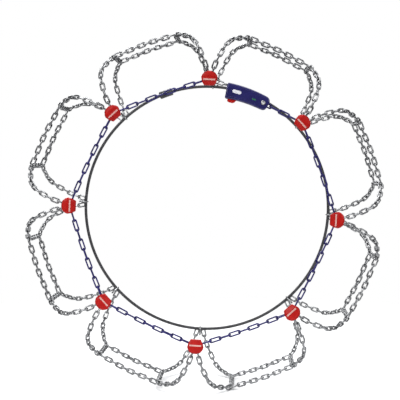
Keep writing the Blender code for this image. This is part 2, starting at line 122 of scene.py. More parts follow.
floor_fade.inputs["From Min"].default_value = FLOOR_SOLID
floor_fade.inputs["From Max"].default_value = FLOOR_REACH
floor_clear = floor_nodes.new("ShaderNodeBsdfTransparent")
floor_mix = floor_nodes.new("ShaderNodeMixShader")
floor_links.new(floor_place.outputs["Object"], floor_reach.inputs[0])
floor_links.new(floor_reach.outputs["Value"], floor_fade.inputs["Value"])
floor_links.new(floor_fade.outputs[0], floor_mix.inputs[0])
floor_links.new(floor_shader.outputs[0], floor_mix.inputs[1])
floor_links.new(floor_clear.outputs[0], floor_mix.inputs[2])
floor_links.new(floor_mix.outputs[0], floor_nodes["Material Output"].inputs["Surface"])
floor_mesh.materials.append(floor_finish)

# %% World
PALE = (1, 1, 1, 1)
BRIGHT = (0.5, 0.51, 0.53, 1)
SHADE = (0.05, 0.05, 0.055, 1)
world = bpy.data.worlds.new("studio")
bpy.context.scene.world = world
world.use_nodes = True
sky = world.node_tree
ground = sky.nodes["Background"]
where = sky.nodes.new("ShaderNodeTexCoord")
split = sky.nodes.new("ShaderNodeSeparateXYZ")
ramp = sky.nodes.new("ShaderNodeValToRGB")
ramp.color_ramp.elements[0].position = 0.5
ramp.color_ramp.elements[0].color = SHADE
ramp.color_ramp.elements[1].position = 0.9
ramp.color_ramp.elements[1].color = BRIGHT
path_kind = sky.nodes.new("ShaderNodeLightPath")
choose = sky.nodes.new("ShaderNodeMix")
choose.data_type = "RGBA"
choose.inputs[7].default_value = PALE
scale = sky.nodes.new("ShaderNodeMapRange")
scale.inputs["From Min"].default_value = -1
sky.links.new(where.outputs["Generated"], split.inputs[0])
sky.links.new(split.outputs["Z"], scale.inputs["Value"])
sky.links.new(scale.outputs[0], ramp.inputs[0])
sky.links.new(ramp.outputs[0], choose.inputs[6])
sky.links.new(path_kind.outputs["Is Camera Ray"], choose.inputs[0])
sky.links.new(choose.outputs[2], ground.inputs["Color"])
ground.inputs["Strength"].default_value = 1.0

# %% Lamps
LAMPS = {
    "key": ((-1.3, -2.0, 1.5), 1.3, 55),
    "fill": ((1.7, -1.5, 0.7), 1.0, 20),
    "top": ((0.2, 0.5, 2.2), 1.6, 40),
    "rear": ((-0.8, 2.4, 1.2), 1.4, 40),
}
for name, (spot, size, power) in LAMPS.items():
    lamp = bpy.data.lights.new(name, "AREA")
    lamp.size = size
    lamp.energy = power
    holder = bpy.data.objects.new(name, lamp)
    bpy.context.scene.collection.objects.link(holder)
    holder.location = spot
    holder.rotation_euler = (-Vector(spot)).to_track_quat("-Z", "Y").to_euler()
print("lamps:", len(LAMPS))

# %% [markdown]
# ## Finishes
# Hot-dip galvanised wire is a mottled grey metal, rougher where the zinc is thicker. The plastic
# is smooth and slightly speckled, and the blue side chain is painted steel that shows wear.
# Each finish is one small node tree: a coarse noise shifts the colour, and a finer one sets
# the roughness and gives a shallow bump. Both noises read object coordinates.


# %% Helper for a finish
CLOUD_ENDS = (0.32, 0.68)
GRAIN_ENDS = (0.3, 0.7)
RELIEF_DEPTH = 0.5 * MM


def mottled(name, dark, light, size, roughness, metallic, bump=0.1, grain=900, gloss=0.5):
    """A finish between two colours, with noise of this size, in metres, and a fine grain."""
    made = bpy.data.materials.new(name)
    made.use_nodes = True
    nodes, links = made.node_tree.nodes, made.node_tree.links
    shader = nodes["Principled BSDF"]
    shader.inputs["Metallic"].default_value = metallic
    shader.inputs["Specular IOR Level"].default_value = gloss
    coords = nodes.new("ShaderNodeTexCoord")
    cloud = nodes.new("ShaderNodeTexNoise")
    cloud.inputs["Scale"].default_value = 1 / size
    cloud.inputs["Detail"].default_value = 4
    colours = nodes.new("ShaderNodeValToRGB")
    colours.color_ramp.elements[0].position = CLOUD_ENDS[0]
    colours.color_ramp.elements[0].color = (*dark, 1)
    colours.color_ramp.elements[1].position = CLOUD_ENDS[1]
    colours.color_ramp.elements[1].color = (*light, 1)
    fine = nodes.new("ShaderNodeTexNoise")
    fine.inputs["Scale"].default_value = grain
    fine.inputs["Detail"].default_value = 3
    rough = nodes.new("ShaderNodeMapRange")
    rough.inputs["From Min"].default_value = GRAIN_ENDS[0]
    rough.inputs["From Max"].default_value = GRAIN_ENDS[1]
    rough.inputs["To Min"].default_value = roughness[0]
    rough.inputs["To Max"].default_value = roughness[1]
    relief = nodes.new("ShaderNodeBump")
    relief.inputs["Strength"].default_value = bump
    relief.inputs["Distance"].default_value = RELIEF_DEPTH
    links.new(coords.outputs["Object"], cloud.inputs["Vector"])
    links.new(coords.outputs["Object"], fine.inputs["Vector"])
    links.new(cloud.outputs[0], colours.inputs[0])
    links.new(colours.outputs[0], shader.inputs["Base Color"])
    links.new(fine.outputs[0], rough.inputs["Value"])
    links.new(rough.outputs[0], shader.inputs["Roughness"])
    links.new(fine.outputs[0], relief.inputs["Height"])
    links.new(relief.outputs[0], shader.inputs["Normal"])
    return made


# %% The finishes
ZINC = mottled(
    "galvanised_wire",
    dark=(0.13, 0.133, 0.14),
    light=(0.38, 0.385, 0.39),
    size=0.006, roughness=(0.2, 0.4), metallic=1.0, bump=0.25,
)
STEEL = mottled(
    "plated_sheet",
    dark=(0.3, 0.3, 0.31),
    light=(0.55, 0.55, 0.55),
    size=0.012, roughness=(0.25, 0.45), metallic=1.0, bump=0.15,
)
SPRING = mottled(
    "blued_spring",
    dark=(0.08, 0.09, 0.13),
    light=(0.2, 0.21, 0.25),
    size=0.004, roughness=(0.25, 0.4), metallic=1.0,
)
RED = mottled(
    "red_moulding",
    dark=(0.34, 0.005, 0.004),
    light=(0.42, 0.011, 0.008),
    size=0.01, roughness=(0.34, 0.46), metallic=0.0, bump=0.06, grain=1600, gloss=0.14,
)
BLUE = mottled(
    "blue_moulding",
    dark=(0.01, 0.009, 0.075),
    light=(0.018, 0.016, 0.115),
    size=0.02, roughness=(0.25, 0.38), metallic=0.0, bump=0.06, grain=1600, gloss=0.4,
)
PAINT = mottled(
    "blue_paint_on_chain",
    dark=(0.008, 0.007, 0.065),
    light=(0.03, 0.025, 0.16),
    size=0.007, roughness=(0.35, 0.5), metallic=0.2, bump=0.2, gloss=0.3,
)
JACKET = mottled(
    "cable_plastic",
    dark=(0.01, 0.01, 0.012),
    light=(0.035, 0.035, 0.04),
    size=0.01, roughness=(0.4, 0.6), metallic=0.0, bump=0.3,
)
WHITE = mottled(
    "white_print",
    dark=(0.6, 0.6, 0.66),
    light=(0.72, 0.72, 0.76),
    size=0.004, roughness=(0.4, 0.5), metallic=0.0, bump=0.05,
)
# A pale pink painted highlight, laid on a thin strip along the crown of each cap's rib.
RIB_HIGHLIGHT = mottled(
    "painted_rib_highlight",
    dark=(0.5, 0.26, 0.23),
    light=(0.68, 0.4, 0.36),
    size=0.003, roughness=(0.35, 0.5), metallic=0.0, bump=0.05,
)
GREEN = mottled(
    "green_print",
    dark=(0.008, 0.1, 0.05),
    light=(0.02, 0.17, 0.075),
    size=0.003, roughness=(0.4, 0.5), metallic=0.0, bump=0.05,
)
print("finishes:", len(bpy.data.materials))

# %% [markdown]
# ## Measuring on the wheel
# The chain lies on a tyre that is not part of it, so its shape comes from the tyre's outline.
# `on_tyre` takes an angle round the wheel and a distance s across the tread and down the
# sidewall, and gives a point at a height over the rubber with the direction away from it.

# %% The tyre's outline
TREAD_RADIUS = 317 * MM
WIDEST_RADIUS = 272 * MM
BEAD_RADIUS = 235.6 * MM
HALF_WIDTH = 112.5 * MM
SHOULDER_POWER = 3.2
SIDEWALL_CURVE = 6.4
CHAIN_HEIGHT = 4.9 * MM


@lru_cache
def tyre_table():
    """Half of the tyre's outline as (s, y, r), with s the distance from the tread's middle."""
    steps = 160
    rim = TREAD_RADIUS - WIDEST_RADIUS
    power = 2 / SHOULDER_POWER
    outline = []
    for i in range(steps + 1):
        turn = math.pi / 2 * (i / steps) ** 1.6
        y = HALF_WIDTH * math.sin(turn) ** power
        outline.append((y, WIDEST_RADIUS + rim * max(math.cos(turn), 0) ** power))
    for i in range(1, 41):
        drop = (WIDEST_RADIUS - BEAD_RADIUS) * 1.1 * i / 40
        outline.append((HALF_WIDTH - SIDEWALL_CURVE * drop**2, WIDEST_RADIUS - drop))
    table = [(0.0, *outline[0])]
    for before, after in zip(outline, outline[1:]):
        table.append((table[-1][0] + math.dist(before, after), *after))
    return table


def tyre_outline(s):
    """The outline's point at distance s, with the direction that points out of the tyre."""
    side = -1 if s < 0 else 1
    table = tyre_table()
    for before, after in zip(table, table[1:]):
        if after[0] >= abs(s):
            break
    part = (abs(s) - before[0]) / (after[0] - before[0])
    y, r = (before[k] + part * (after[k] - before[k]) for k in (1, 2))
    normal = Vector((before[2] - after[2], after[1] - before[1])).normalized()
    return side * y, r, side * normal.x, normal.y


def distance_at_radius(radius):
    """How far round the outline the sidewall reaches this radius."""
    table = [row for row in tyre_table() if row[2] < TREAD_RADIUS - 10 * MM]
    return min(table, key=lambda row: abs(row[2] - radius))[0]


def on_tyre(angle, s, height=CHAIN_HEIGHT):
    """A point at this height over the tyre, and the direction away from the tyre."""
    y, r, normal_y, normal_r = tyre_outline(s)
    turn = math.radians(angle)
    up = Vector((normal_r * math.cos(turn), normal_y, normal_r * math.sin(turn)))
    return Vector((r * math.cos(turn), y, r * math.sin(turn))) + up * height, up


# %% Frames round the wheel
CORNERS = 8
CORNER_STEP = 360 / CORNERS
FIRST_CORNER = -3.0


def station(angle, radius, y):
    """A frame on the wheel: x away from the hub, y anticlockwise from outside, z outwards."""
    turn = math.radians(angle)
    away = Vector((math.cos(turn), 0, math.sin(turn)))
    made = Matrix.Identity(4)
    made.col[0].xyz = away
    made.col[1].xyz = Vector((-math.sin(turn), 0, math.cos(turn)))
    made.col[2].xyz = Vector((0, -1, 0))
    made.translation = away * radius + Vector((0, y, 0))
    return made


def corner(k):
    """The angle of connector k, counted from 0."""
    return FIRST_CORNER + CORNER_STEP * k


# %% Pieces
def show(name, mesh, body, finish, replaced=(), matrix=None, smooth=40):
    """Puts a mesh in the scene with its place in its own points, riding on a body."""
    if matrix is not None:
        mesh.transform(matrix)
    if smooth:
        mesh.shade_smooth()
        mesh.set_sharp_from_angle(angle=math.radians(smooth))
    mesh.materials.clear()
    mesh.materials.append(finish)
    piece = bpy.data.objects.new(name, mesh)
    bpy.context.scene.collection.objects.link(piece)
    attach(piece, body)
    if replaced:
        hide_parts(*replaced)
    return piece


def joined(name, meshes):
    """One mesh out of several."""
    shape = bmesh.new()
    for mesh in meshes:
        shape.from_mesh(mesh)
    made = bpy.data.meshes.new(name)
    shape.to_mesh(made)
    shape.free()
    return made


def skin(name, rings, ring_closed=False):
    """A closed skin over rings of points. The end rings are filled, or joined to each other."""
    shape = bmesh.new()
    loops = [[shape.verts.new(point) for point in ring] for ring in rings]
    pairs = list(zip(loops, loops[1:]))
    if ring_closed:
        pairs.append((loops[-1], loops[0]))
    else:
        shape.faces.new(loops[0])
        shape.faces.new(loops[-1])
    for lower, upper in pairs:
        for i, point in enumerate(lower):
            j = (i + 1) % len(lower)
            shape.faces.new((point, lower[j], upper[j], upper[i]))
    bmesh.ops.recalc_face_normals(shape, faces=shape.faces)
    mesh = bpy.data.meshes.new(name)
    shape.to_mesh(mesh)
    shape.free()
    return mesh


def ring_of(radius, count, z, centre=(0, 0)):
    """Points on a circle at height z."""
    x, y = centre
    turn = [2 * math.pi * i / count for i in range(count)]
    return [Vector((x + radius * math.cos(a), y + radius * math.sin(a), z)) for a in turn]


# %% [markdown]
# ## A tree that hangs links on a path
# Every run of chain is the same thing: one oval link repeated along a path, each turned a
# quarter round from the one before. Geometry Nodes do this well. The path comes in as edges
# whose points carry two attributes, the direction away from the tyre and a starting roll. The
# tree resamples it to the pitch, makes one link from a stretched circle, puts it on each point
# and rolls every second one. A small random roll with a fixed seed keeps the run from looking
# drawn with a ruler.


# %% The link tree
LINK_BENDS = 16
LINK_SIDES = 7


def links_tree():
    """A modifier that puts links on a path."""
    tree = bpy.data.node_groups.new("links_along_a_path", "GeometryNodeTree")
    face = tree.interface
    face.new_socket("Path", in_out="INPUT", socket_type="NodeSocketGeometry")
    for name in ("Pitch", "Wire", "Length", "Width", "Loose Roll"):
        face.new_socket(name, in_out="INPUT", socket_type="NodeSocketFloat")
    face.new_socket("Seed", in_out="INPUT", socket_type="NodeSocketInt")
    face.new_socket("Finish", in_out="INPUT", socket_type="NodeSocketMaterial")
    face.new_socket("Links", in_out="OUTPUT", socket_type="NodeSocketGeometry")

    def add(kind, **settings):
        node = tree.nodes.new(kind)
        for key, value in settings.items():
            setattr(node, key, value)
        return node

    def maths(operation, first, second):
        node = add("ShaderNodeMath", operation=operation)
        for socket, value in zip(node.inputs, (first, second)):
            if isinstance(value, (int, float)):
                socket.default_value = value
            else:
                tree.links.new(value, socket)
        return node.outputs[0]

    given = add("NodeGroupInput").outputs
    result = add("NodeGroupOutput")

    # the path, with a point for each link
    curve = add("GeometryNodeMeshToCurve")
    spaced = add("GeometryNodeResampleCurve", mode="LENGTH")
    tree.links.new(given["Path"], curve.inputs[0])
    tree.links.new(curve.outputs[0], spaced.inputs["Curve"])
    tree.links.new(given["Pitch"], spaced.inputs["Length"])

    # one link in the XY plane, with a corner-free end because the circle is turned half a step
    oval = add("GeometryNodeCurvePrimitiveCircle")
    oval.inputs["Resolution"].default_value = LINK_BENDS
    clear_width = maths("SUBTRACT", given["Width"], given["Wire"])
    tree.links.new(maths("MULTIPLY", clear_width, 0.5), oval.inputs["Radius"])
    half_step = add("GeometryNodeTransform")
    half_step.inputs["Rotation"].default_value = (0, 0, math.pi / LINK_BENDS)
    tree.links.new(oval.outputs[0], half_step.inputs[0])
    position = add("GeometryNodeInputPosition")
    parts = add("ShaderNodeSeparateXYZ")
    tree.links.new(position.outputs[0], parts.inputs[0])
    stretch = maths("MULTIPLY", maths("SUBTRACT", given["Length"], given["Width"]), 0.5)
    offset = add("ShaderNodeCombineXYZ")
    side = maths("SIGN", parts.outputs[0], 0)
    tree.links.new(maths("MULTIPLY", side, stretch), offset.inputs[0])
    moved = add("GeometryNodeSetPosition")
    tree.links.new(half_step.outputs[0], moved.inputs["Geometry"])
    tree.links.new(offset.outputs[0], moved.inputs["Offset"])
    section = add("GeometryNodeCurvePrimitiveCircle")
    section.inputs["Resolution"].default_value = LINK_SIDES
    tree.links.new(maths("MULTIPLY", given["Wire"], 0.5), section.inputs["Radius"])
    wire = add("GeometryNodeCurveToMesh")
    tree.links.new(moved.outputs[0], wire.inputs["Curve"])
    tree.links.new(section.outputs[0], wire.inputs["Profile Curve"])

    # its turn: long side along the path, flat side to the tyre, then the roll
    tangent = add("GeometryNodeInputTangent")
    away = add("GeometryNodeInputNamedAttribute", data_type="FLOAT_VECTOR")
    away.inputs["Name"].default_value = "away"
    along = add("FunctionNodeAlignRotationToVector", axis="X")
    tree.links.new(tangent.outputs[0], along.inputs["Vector"])
    upright = add("FunctionNodeAlignRotationToVector", axis="Z", pivot_axis="X")
    tree.links.new(along.outputs[0], upright.inputs["Rotation"])
    tree.links.new(away.outputs["Attribute"], upright.inputs["Vector"])
    count = add("GeometryNodeSplineParameter")
    quarter = maths("MULTIPLY", maths("MODULO", count.outputs["Index"], 2), math.pi / 2)
    start = add("GeometryNodeInputNamedAttribute", data_type="FLOAT")
    start.inputs["Name"].default_value = "roll"
    chance = add("FunctionNodeRandomValue", data_type="FLOAT")
    chance.inputs[2].default_value = -1
    chance.inputs[3].default_value = 1
    tree.links.new(given["Seed"], chance.inputs["Seed"])
    loose = maths("MULTIPLY", chance.outputs[1], given["Loose Roll"])
    roll = maths("ADD", maths("ADD", quarter, start.outputs["Attribute"]), loose)
    axis = add("FunctionNodeAxisAngleToRotation")
    axis.inputs["Axis"].default_value = (1, 0, 0)
    tree.links.new(roll, axis.inputs["Angle"])
    turned = add("FunctionNodeRotateRotation", rotation_space="LOCAL")
    tree.links.new(upright.outputs[0], turned.inputs["Rotation"])
    tree.links.new(axis.outputs[0], turned.inputs["Rotate By"])

    # the finished run
    placed = add("GeometryNodeInstanceOnPoints")
    tree.links.new(spaced.outputs[0], placed.inputs["Points"])
    tree.links.new(wire.outputs[0], placed.inputs["Instance"])
    tree.links.new(turned.outputs[0], placed.inputs["Rotation"])
    real = add("GeometryNodeRealizeInstances")
    coated = add("GeometryNodeSetMaterial")
    tree.links.new(placed.outputs[0], real.inputs[0])
    tree.links.new(real.outputs[0], coated.inputs["Geometry"])
    tree.links.new(given["Finish"], coated.inputs["Material"])
    tree.links.new(coated.outputs[0], result.inputs[0])
    return tree


LINKS = links_tree()
print("link tree nodes:", len(LINKS.nodes))


# %% Growing links on paths
def grown(name, paths, finish, seed=1, **sizes):
    """Links along each path of (point, away, roll), as one plain mesh."""
    points, edges, away, roll = [], [], [], []
    for path in paths:
        first = len(points)
        for place, direction, start in path:
            points.append(place)
            away.extend(direction)
            roll.append(start)
        edges += [(i, i + 1) for i in range(first, len(points) - 1)]
    lines = bpy.data.meshes.new(name + "_path")
    lines.from_pydata(points, edges, [])
    lines.attributes.new("away", "FLOAT_VECTOR", "POINT").data.foreach_set("vector", away)
    lines.attributes.new("roll", "FLOAT", "POINT").data.foreach_set("value", roll)
    holder = bpy.data.objects.new(name + "_path", lines)
    bpy.context.scene.collection.objects.link(holder)
    step = holder.modifiers.new("links", "NODES")
    step.node_group = LINKS
    values = {"Seed": seed, "Finish": finish, **sizes}
    for socket in LINKS.interface.items_tree:
        if socket.in_out == "INPUT" and socket.name in values:
            step[socket.identifier] = values[socket.name]
    ready = holder.evaluated_get(bpy.context.evaluated_depsgraph_get())
    made = bpy.data.meshes.new_from_object(ready)
    made.name = name
    bpy.data.objects.remove(holder)
    for attribute in ("away", "roll"):
        if attribute in made.attributes:
            made.attributes.remove(made.attributes[attribute])
    return made


# %% [markdown]
# ## The tread net
# Eight identical loops cross the tread. Each one leaves a connector as two arms, spreads out
# over the shoulder, runs straight across the tread and comes together again behind the tyre.
# Short runs round the tyre join the loops on both edges of the tread. The path of one half of a
# loop is one long chain, so its links keep an even pitch over the corners.

# %% Tread net sizes
JUNCTION_ANGLE = 12.0
JUNCTION_S = 55 * MM
ARM_FOOT = (1.22, 251.2 * MM)
REAR_FOOT = (1.7, 247 * MM)
ARM_BEND = 1.25
ARM_STEPS = 24
CROSS_STEPS = 16
RUN_STEPS = 16
TREAD_WIRE = 3.1 * MM
TREAD_LENGTH = 18.3 * MM
TREAD_WIDTH = 10.2 * MM
TREAD_PITCH = 12.1 * MM
LOOP_SLACK = 0.97
RUN_SLACK = 0.93
TREAD_LOOSENESS = math.radians(9)
RUN_REACH = 8.0 * MM
JUNCTION_LIFT = 2.6 * MM
JUNCTION_SPREAD = 16 * MM
FOOT_DROP = 1.3 * MM
FOOT_SPREAD = 9 * MM


# %% Paths of the tread net
def lifted(distance):
    """Height over the tyre: the chains ride up on each other where three of them meet."""
    return CHAIN_HEIGHT + JUNCTION_LIFT * math.exp(-((distance / JUNCTION_SPREAD) ** 2))


def arm(foot, side):
    """The (angle, s) pairs from a foot near the rim up to the junction on the tread."""
    angle, radius = foot
    low = distance_at_radius(radius)
    made = []
    for i in range(ARM_STEPS + 1):
        part = i / ARM_STEPS
        bent = angle + (JUNCTION_ANGLE - angle) * part**ARM_BEND
        made.append((bent, side * (low + (JUNCTION_S - low) * part)))
    return made


def half_loop(k, hand):
    """From connector k over the tread to the cable, on one side of the connector."""
    front = arm(ARM_FOOT, -1)
    rear = arm(REAR_FOOT, 1)
    cross = []
    for i in range(1, CROSS_STEPS):
        cross.append((JUNCTION_ANGLE, JUNCTION_S * (2 * i / CROSS_STEPS - 1)))
    made = []
    for angle, s in front + cross + rear[::-1]:
        sunk = FOOT_DROP * math.exp(-(((s - front[0][1]) / FOOT_SPREAD) ** 2))
        place, away = on_tyre(corner(k) + hand * angle, s, lifted(abs(s) - JUNCTION_S) - sunk)
        made.append((place, away, math.pi / 2))
    return made


def run_path(k, side):
    """Round the tyre from a junction of loop k to the next loop's."""
    radius = on_tyre(0, side * JUNCTION_S)[0].xz.length
    start = JUNCTION_ANGLE + math.degrees(RUN_REACH / radius)
    stop = CORNER_STEP - start
    made = []
    for i in range(RUN_STEPS + 1):
        angle = start + (stop - start) * i / RUN_STEPS
        nearest = min(angle, CORNER_STEP - angle) - JUNCTION_ANGLE
        height = lifted(math.radians(nearest) * radius)
        place, away = on_tyre(corner(k) + angle, side * JUNCTION_S, height)
        made.append((place, away, 0.0))
    return made


# %% Loops and runs
def path_length(path):
    """The length of a path of (point, away, roll)."""
    return sum((b[0] - a[0]).length for a, b in zip(path, path[1:]))


loops = [half_loop(k, hand) for k in range(CORNERS) for hand in (1, -1)]
runs = [run_path(k, side) for k in range(CORNERS) for side in (-1, 1)]
tread_sizes = dict(Wire=TREAD_WIRE, Length=TREAD_LENGTH, Width=TREAD_WIDTH)
tread_sizes["Loose Roll"] = TREAD_LOOSENESS
nets = {
    "tread_loop_links": (loops, 3, LOOP_SLACK, ("tread_loop",)),
    "tread_run_links": (runs, 5, RUN_SLACK, ("front_run", "rear_run")),
}
for name, (paths, seed, slack, nodes) in nets.items():
    mesh = grown(name, paths, ZINC, seed, Pitch=TREAD_PITCH * slack, **tread_sizes)
    replaced = [f"{node}_{k + 1}" for k in range(CORNERS) for node in nodes]
    show(name, mesh, "tread_net", ZINC, replaced, smooth=None)
    print(name, "paths:", len(paths), "faces:", len(mesh.polygons))
print("length of a half loop:", round(path_length(loops[0]), 4))
print("length of a run:", round(path_length(runs[0]), 4))

# %% [markdown]
# ## Connectors
# A connector is a steel plate with holes for two arms and the side chain, under a red moulded
# cap. The cap is lofted from cross sections: a facet that slopes to the hub, a raised rib, a
# shallow groove beside it and a gently crowned part towards the tread. It is hollow underneath,
# and its wall is cut back where the chains come in.

# %% Connector sizes
CONNECTOR_RADIUS = 237 * MM
SIDE_CHAIN_X = -4 * MM
PLATE_HEIGHT = 4.7 * MM
CAP_WALL = 1.5
CAP_CEILING = 5.3
CAP_MOUTH = 4.9
CAP_BOTTOM = 1.9
CAP_ARC_STEPS = 18
CAP_SIDE_POWER = 0.42
CAP_CROWN_POWER = 0.5
CHAIN_GAP = (-10.1, -2.6)
ARM_GAP = 9.4
GAP_EDGE = 0.05
CAP_WIDTHS = [
    (-12.6, 8.7),
    (-11.4, 9.8),
    (-8, 11.8),
    (-4.5, 13.2),
    (1.8, 14.7),
    (6, 13.2),
    (10, 9.9),
    (12, 6.8),
    (13, 4.6),
]
CAP_HEIGHTS = [
    (-12.6, 4.2),
    (-12.2, 5.6),
    (-11.2, 6.7),
    (-5.4, 9.4),
    (-4.8, 10.0),
    (-4.1, 10.6),
    (-3.5, 10.75),
    (-1.5, 10.75),
    (-0.9, 10.5),
    (-0.3, 9.9),
    (0.4, 9.5),
    (1.2, 9.5),
    (2.4, 9.85),
    (3.4, 9.95),
    (6, 9.95),
    (9.6, 9.3),
    (11.6, 8.2),
    (12.7, 6.9),
    (13, 6.0),
]
CAP_EXTRA = (-10.6, -9, -7, -6.2, 4.7, 7.8, 8.7, 10.8)


def between(table, x):
    """Straight interpolation in a table of (x, value)."""
    for (x0, v0), (x1, v1) in zip(table, table[1:]):
        if x <= x1:
            return v0 + (v1 - v0) * (x - x0) / (x1 - x0)
    return table[-1][1]


def connector_frame(k):
    """The frame of connector k, with its origin on the side chain's line."""
    y = -tyre_outline(distance_at_radius(CONNECTOR_RADIUS))[0] - PLATE_HEIGHT
    return station(corner(k), CONNECTOR_RADIUS + SIDE_CHAIN_X, y)


# %% Cap
def cap_section(x):
    """One cross section of the cap: over the dome and back along the hollow underside."""
    width = between(CAP_WIDTHS, x)
    height = between(CAP_HEIGHTS, x)
    at_chain = CHAIN_GAP[0] < x < CHAIN_GAP[1]
    at_arms = x > ARM_GAP
    low = CAP_MOUTH if at_chain or at_arms else CAP_BOTTOM
    ceiling = low if x < CAP_WIDTHS[0][0] + CAP_WALL else CAP_CEILING
    dome = []
    for i in range(CAP_ARC_STEPS + 1):
        turn = math.pi * (1 - i / CAP_ARC_STEPS)
        across = math.copysign(abs(math.cos(turn)) ** CAP_SIDE_POWER, math.cos(turn)) * width
        rise = max(math.sin(turn), 0) ** CAP_CROWN_POWER
        dome.append((across, low + (height - low) * rise))
    inner = width - CAP_WALL
    under = [(inner, low), (inner, ceiling), (-inner, ceiling), (-inner, low)]
    centre = -SIDE_CHAIN_X / MM
    return [Vector((centre + x, y, z)) * MM for y, z in dome + under]


edges = [value + shift for value in (*CHAIN_GAP, ARM_GAP) for shift in (-GAP_EDGE, GAP_EDGE)]
cuts = sorted({x for x, _ in CAP_HEIGHTS + CAP_WIDTHS} | {*edges, *CAP_EXTRA})
cap_mesh = skin("cap", [cap_section(x) for x in cuts])
for k in range(CORNERS):
    body, replaced = f"connector_{k + 1}", [f"connector_cap_{k + 1}"]
    place = connector_frame(k)
    show(f"cap_{k + 1}", cap_mesh.copy(), body, RED, replaced, place, 50)
print("cap sections:", len(cuts), "faces:", len(cap_mesh.polygons))

# %% Painted highlight on the rib
LINE_X = (-3.8, -1.2)
LINE_HALF = 10.4
LINE_PROUD = 0.12
LINE_SUNK = -0.4
LINE_STEPS = 14


def rib_highlight_strip():
    """A thin strip that follows the crown of the rib and carries its painted highlight."""
    centre = -SIDE_CHAIN_X / MM
    middle = sum(LINE_X) / 2
    width, height = between(CAP_WIDTHS, middle), between(CAP_HEIGHTS, middle)
    left, right = LINE_X
    corners = [(left, LINE_SUNK), (right, LINE_SUNK), (right, LINE_PROUD), (left, LINE_PROUD)]
    rings = []
    for i in range(LINE_STEPS + 1):
        y = LINE_HALF * (2 * i / LINE_STEPS - 1)
        rise = (1 - (abs(y) / width) ** (2 / CAP_SIDE_POWER)) ** (CAP_CROWN_POWER / 2)
        crown = CAP_MOUTH + (height - CAP_MOUTH) * rise
        rings.append([Vector((centre + x, y, crown + z)) * MM for x, z in corners])
    return skin("rib_highlight_strip", rings)


# Each cap gets the strip, which paints the light on its rib in pale pink.
for k in range(CORNERS):
    body, place = f"connector_{k + 1}", connector_frame(k)
    show(f"cap_highlight_{k + 1}", rib_highlight_strip(), body, RIB_HIGHLIGHT, (), place, 35)
print("pale lines:", CORNERS)

# %% [markdown]
# ## Side chain
# Long welded links, painted dark blue, join the connectors into a ring. They hang on the plates
# under the caps. One run, between the second connector and the tensioner, is shorter.

# %% Side chain
SIDE_WIRE = 2.9 * MM
SIDE_LENGTH = 23.8 * MM
SIDE_WIDTH = 9.2 * MM
SIDE_BOW = 2.2 * MM
SIDE_HOLE = 8 * MM
SIDE_COUNT = 9
SHORT_COUNT = 4
SIDE_STEPS = 16
SIDE_SEED = 11
SIDE_LOOSENESS = math.radians(8)
PITCH_TRIM = 0.999
RIVET_ANGLE = 61.1
RIVET_RING_RADIUS = 220.3 * MM
RIVET_REACH = 3.9 * MM

for k in range(CORNERS):
    start = connector_frame(k) @ Vector((0, SIDE_HOLE, 0))
    if k == 1:
        stop = station(RIVET_ANGLE, RIVET_RING_RADIUS, start.y).translation
        stop += (stop - start).normalized() * RIVET_REACH
        count = SHORT_COUNT
    else:
        stop = connector_frame(k + 1) @ Vector((0, -SIDE_HOLE, 0))
        count = SIDE_COUNT
    span = (stop - start).length
    pitch = (span - SIDE_WIRE) / count
    first = (pitch + SIDE_WIRE) / 2 / span
    middle = (start + stop) / 2
    bow = SIDE_BOW if count == SIDE_COUNT else 0
    outwards = Vector((middle.x, 0, middle.z)).normalized() * bow
    path = []
    for i in range(SIDE_STEPS + 1):
        part = first + (1 - 2 * first) * i / SIDE_STEPS
        spot = start.lerp(stop, part) + outwards * math.sin(math.pi * part)
        path.append((spot, Vector((0, -1, 0)), math.pi / 2))
    name = f"side_links_{k + 1}"
    sizes = dict(Wire=SIDE_WIRE, Length=SIDE_LENGTH, Width=SIDE_WIDTH)
    sizes["Loose Roll"] = SIDE_LOOSENESS
    mesh = grown(name, [path], PAINT, SIDE_SEED + k, Pitch=pitch * PITCH_TRIM, **sizes)
    body, replaced = f"side_chain_run_{k + 1}", [f"side_chain_{k + 1}"]
    show(name, mesh, body, PAINT, replaced, smooth=None)
    print("side chain", k + 1, "pitch", round(pitch / MM, 2))

# %% [markdown]
# ## Tensioner housing
# The tensioner is a blue moulded case that follows the rim. Its shell is built from insets of
# one outline at rising heights, so the edge is rounded and a shallow panel is let into the
# front, and the same outline shrunk by the wall makes it hollow. Boxes cut the mouths for the
# strand, the lever and the side chain. Two blank labels stand where the real case has printed
# marks, because a mark belongs to its maker and isn't copied.

# %% Tensioner sizes
DRUM_ANGLE = 74.5
DRUM_RING_RADIUS = 219 * MM
HOUSING_BACK_Y = -107.5 * MM
HOUSING_ANGLES = (58.6, 79.0)
HOUSING_OUTER = 233 * MM
HOUSING_INNER = (208.5 * MM, 205 * MM)
END_CORNERS = (9 * MM, 7 * MM)
LEFT_CORNER = 3 * MM
LEAST_CORNER = 0.8 * MM
CORNER_STEPS = 9
EDGE_STEPS = 16
PANEL_Z = 16.05
HOUSING_RINGS = [
    (2, 14.5),
    (2, 2.3),
    (0.3, 2.3),
    (0, 2.7),
    (0, 13.2),
    (0.25, 14.5),
    (0.9, 15.6),
    (1.8, 16.25),
    (2.8, 16.5),
    (3.9, 16.5),
    (4.3, 16.1),
    (4.8, PANEL_Z),
]
STRAND_MOUTH = ((5.2, 10, 5), (11.8, 22, 11.8))
LEVER_MOUTH = ((-18, -6.8, 4.6), (-10, 12.6, 12.9))
CHAIN_MOUTH_X = (-10, 4)
CHAIN_MOUTH_Z = (4, 13)
CHAIN_MOUTH_REACH = 18
RIVET_HOLE = 2.6
HOLE_SIDES = 16


# %% The housing's outline
def from_polar(radius, angle):
    """Wheel radius and angle to the tensioner's own x and y."""
    turn = math.radians(angle - DRUM_ANGLE)
    return radius * math.cos(turn) - DRUM_RING_RADIUS, radius * math.sin(turn)


def inner_edge(angle):
    """The radius of the edge that faces the hub; it falls a little to the left."""
    right, left = HOUSING_ANGLES
    start, stop = HOUSING_INNER
    return start + (stop - start) * (angle - right) / (left - right)


